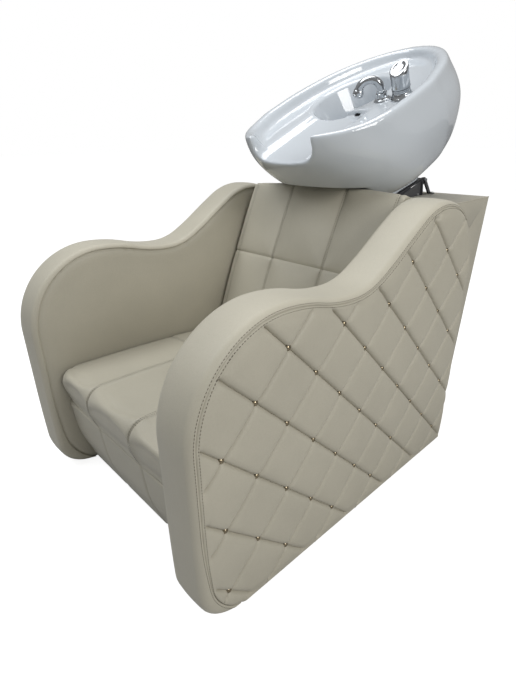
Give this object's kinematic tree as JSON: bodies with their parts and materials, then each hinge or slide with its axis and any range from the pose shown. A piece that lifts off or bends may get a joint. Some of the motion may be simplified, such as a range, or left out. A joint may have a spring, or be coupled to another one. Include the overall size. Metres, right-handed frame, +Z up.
{
  "type": "hair washing bed",
  "caption": "Salon backwash chair: padded reclined seat between quilted studded arms, with a tilting ceramic basin, mixer tap and hand shower over a rear cabinet.",
  "frame": {"origin": "on the floor, under the middle of the whole object's bounding box", "axes": "+X to the sitter's left, -Y to the front where the sitter's feet are, +Y to the basin's rear end, +Z up"},
  "size_m": [0.8, 1.283, 1.1664],
  "materials": {
    "leatherette": "satin",
    "plywood": "matte",
    "black_steel": "satin",
    "zinc_steel": "satin",
    "brass_studs": "polished",
    "white_ceramic": "gloss",
    "chrome_fittings": "polished",
    "black_rubber": "matte",
    "black_plastic": "matte",
    "white_plastic": "satin"
  },
  "bodies": {
    "chair_frame": {"left_arm_band": "leatherette", "left_arm_inner_pad": "leatherette", "left_arm_quilt": "leatherette", "left_side_cover": "leatherette", "left_arm_core": "plywood", "left_side_board": "plywood", "left_arm_studs": "brass_studs", "left_support_bracket": "black_steel", "right_arm_band": "leatherette", "right_arm_inner_pad": "leatherette", "right_arm_quilt": "leatherette", "right_side_cover": "leatherette", "right_arm_core": "plywood", "right_side_board": "plywood", "right_arm_studs": "brass_studs", "right_support_bracket": "black_steel", "cabinet_top_cover": "leatherette", "rear_panel_cover": "leatherette", "seat_cushion": "leatherette", "front_apron": "leatherette", "back_cushion": "leatherette", "front_rail": "plywood", "middle_rail": "plywood", "rear_rail": "plywood", "cabinet_top_board": "plywood", "rear_panel_board": "plywood", "seat_board": "plywood", "apron_board": "plywood", "back_board": "plywood", "arm_bolts": "zinc_steel", "rail_screws": "zinc_steel", "wood_screws": "zinc_steel", "support_screws": "zinc_steel", "pivot_shaft": "zinc_steel", "shaft_collars": "zinc_steel", "front_cross_tube": "black_steel", "rear_cross_tube": "black_steel", "bracket_crossbars": "black_steel", "rear_stays": "black_steel", "tilt_stop_pads": "black_rubber", "floor_glides": "black_plastic"},
    "basin_unit": {"tilt_carrier": "black_steel", "pivot_bushes": "black_plastic", "basin_pads": "black_rubber", "basin_bolts": "zinc_steel", "basin": "white_ceramic", "basin_deck": "white_ceramic", "basin_bowl": "white_ceramic", "drain_flange": "chrome_fittings", "drain_nut": "white_plastic", "drain_tail": "white_plastic", "mixer_base": "chrome_fittings", "mixer_tails": "chrome_fittings", "deck_nuts": "chrome_fittings", "spray_holder": "chrome_fittings"},
    "mixer_swivel": {"mixer_collar": "chrome_fittings"},
    "mixer_lever": {"mixer_handle": "chrome_fittings"},
    "shower_head": {"hand_shower": "chrome_fittings", "spray_face": "black_plastic"},
    "waste_strainer": {"drain_strainer": "chrome_fittings"}
  },
  "joints": [
    {"name": "basin_tilt", "type": "hinge", "parent": "chair_frame", "child": "basin_unit", "pos_m": [0, 0.387, 0.694], "axis": [-1, 0, 0], "range_deg": [0, 8]},
    {"name": "mixer_turn", "type": "hinge", "parent": "basin_unit", "child": "mixer_swivel", "pos_m": [0.155, 0.27169, 1.03285], "axis": [0, -0.4131, 0.9107], "range_deg": [-45, 45]},
    {"name": "mixer_lift", "type": "hinge", "parent": "mixer_swivel", "child": "mixer_lever", "pos_m": [0.155, 0.29307, 1.03536], "axis": [-1, 0, 0], "range_deg": [0, 8]},
    {"name": "shower_pull", "type": "slide", "parent": "basin_unit", "child": "shower_head", "axis": [0, -0.4131, 0.9107], "range_m": [0, 0.045]},
    {"name": "strainer_lift", "type": "slide", "parent": "basin_unit", "child": "waste_strainer", "axis": [0, 0, 1], "range_m": [0, 0.04]}
  ]
}
